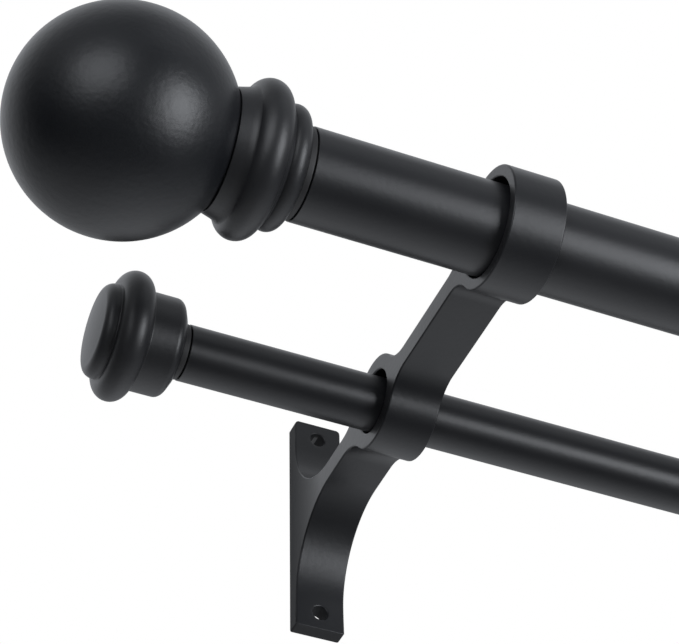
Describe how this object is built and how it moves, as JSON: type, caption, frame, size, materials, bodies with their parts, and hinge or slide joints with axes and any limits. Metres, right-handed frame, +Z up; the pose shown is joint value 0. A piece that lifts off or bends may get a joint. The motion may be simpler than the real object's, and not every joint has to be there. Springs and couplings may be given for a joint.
{
  "type": "double curtain rod with brackets",
  "caption": "Double telescoping curtain rod in black: thick front rod with ball finials, thin rear rod with cap finials, lying in ringed wall brackets.",
  "frame": {"origin": "middle of the left bracket's back face, on the wall", "axes": "+X along the rods to the right, +Y into the wall, +Z up"},
  "size_m": [0.8772, 0.1667, 0.0774],
  "materials": {
    "bracket_coat": "satin black powder coat on extruded aluminium",
    "rod_coat": "satin black coat on steel tube",
    "finial_coat": "satin black coat on cast zinc",
    "ball_coat": "satin black paint on resin, faint orange peel",
    "black_plastic": "moulded matte black",
    "white_nylon": "moulded nylon",
    "zinc_steel": "zinc plated thread"
  },
  "bodies": {
    "brackets": {"left_bracket": "bracket_coat", "right_bracket": "bracket_coat"},
    "front_outer_rod": {"front_outer_tube": "rod_coat", "front_mouth_bushing": "black_plastic", "front_left_end_plug": "black_plastic"},
    "front_inner_rod": {"front_inner_tube": "rod_coat", "front_glide_plug": "white_nylon", "front_right_end_plug": "black_plastic"},
    "front_left_stud": {"front_left_finial_stud": "zinc_steel"},
    "front_left_finial": {"front_left_finial_collar": "finial_coat", "front_left_finial_ball": "ball_coat"},
    "front_right_stud": {"front_right_finial_stud": "zinc_steel"},
    "front_right_finial": {"front_right_finial_collar": "finial_coat", "front_right_finial_ball": "ball_coat"},
    "rear_outer_rod": {"rear_outer_tube": "rod_coat", "rear_mouth_bushing": "black_plastic", "rear_left_end_plug": "black_plastic"},
    "rear_inner_rod": {"rear_inner_tube": "rod_coat", "rear_glide_plug": "white_nylon", "rear_right_end_plug": "black_plastic"},
    "rear_left_stud": {"rear_left_finial_stud": "zinc_steel"},
    "rear_left_finial": {"rear_left_finial_cap": "finial_coat"},
    "rear_right_stud": {"rear_right_finial_stud": "zinc_steel"},
    "rear_right_finial": {"rear_right_finial_cap": "finial_coat"}
  },
  "joints": [
    {"name": "front_rod_shift", "type": "slide", "parent": "brackets", "child": "front_outer_rod", "axis": [1, 0, 0], "range_m": [-0.025, 0.054]},
    {"name": "front_telescope", "type": "slide", "parent": "front_outer_rod", "child": "front_inner_rod", "axis": [1, 0, 0], "range_m": [-0.029, 0.5]},
    {"name": "front_left_finial_turn", "type": "hinge", "parent": "front_left_stud", "child": "front_left_finial", "pos_m": [-0.0627, -0.1365, -0.0012], "axis": [-1, 0, 0], "range_deg": [0, 3240]},
    {"name": "front_left_finial_travel", "type": "slide", "parent": "front_outer_rod", "child": "front_left_stud", "axis": [-1, 0, 0], "range_m": [0, 0.009]},
    {"name": "front_right_finial_turn", "type": "hinge", "parent": "front_right_stud", "child": "front_right_finial", "pos_m": [0.6627, -0.1365, -0.0012], "axis": [1, 0, 0], "range_deg": [0, 3240]},
    {"name": "front_right_finial_travel", "type": "slide", "parent": "front_inner_rod", "child": "front_right_stud", "axis": [1, 0, 0], "range_m": [0, 0.009]},
    {"name": "rear_rod_shift", "type": "slide", "parent": "brackets", "child": "rear_outer_rod", "axis": [1, 0, 0], "range_m": [-0.021, 0.059]},
    {"name": "rear_telescope", "type": "slide", "parent": "rear_outer_rod", "child": "rear_inner_rod", "axis": [1, 0, 0], "range_m": [-0.038, 0.491]},
    {"name": "rear_left_finial_turn", "type": "hinge", "parent": "rear_left_stud", "child": "rear_left_finial", "pos_m": [-0.0672, -0.0625, -0.0016], "axis": [-1, 0, 0], "range_deg": [0, 3240]},
    {"name": "rear_left_finial_travel", "type": "slide", "parent": "rear_outer_rod", "child": "rear_left_stud", "axis": [-1, 0, 0], "range_m": [0, 0.009]},
    {"name": "rear_right_finial_turn", "type": "hinge", "parent": "rear_right_stud", "child": "rear_right_finial", "pos_m": [0.6672, -0.0625, -0.0016], "axis": [1, 0, 0], "range_deg": [0, 3240]},
    {"name": "rear_right_finial_travel", "type": "slide", "parent": "rear_inner_rod", "child": "rear_right_stud", "axis": [1, 0, 0], "range_m": [0, 0.009]}
  ],
  "couplings": [
    {"joint": "front_left_finial_travel", "follows": "front_left_finial_turn", "m_per_rad": 0.00015915},
    {"joint": "front_right_finial_travel", "follows": "front_right_finial_turn", "m_per_rad": 0.00015915},
    {"joint": "rear_left_finial_travel", "follows": "rear_left_finial_turn", "m_per_rad": 0.00015915},
    {"joint": "rear_right_finial_travel", "follows": "rear_right_finial_turn", "m_per_rad": 0.00015915}
  ]
}
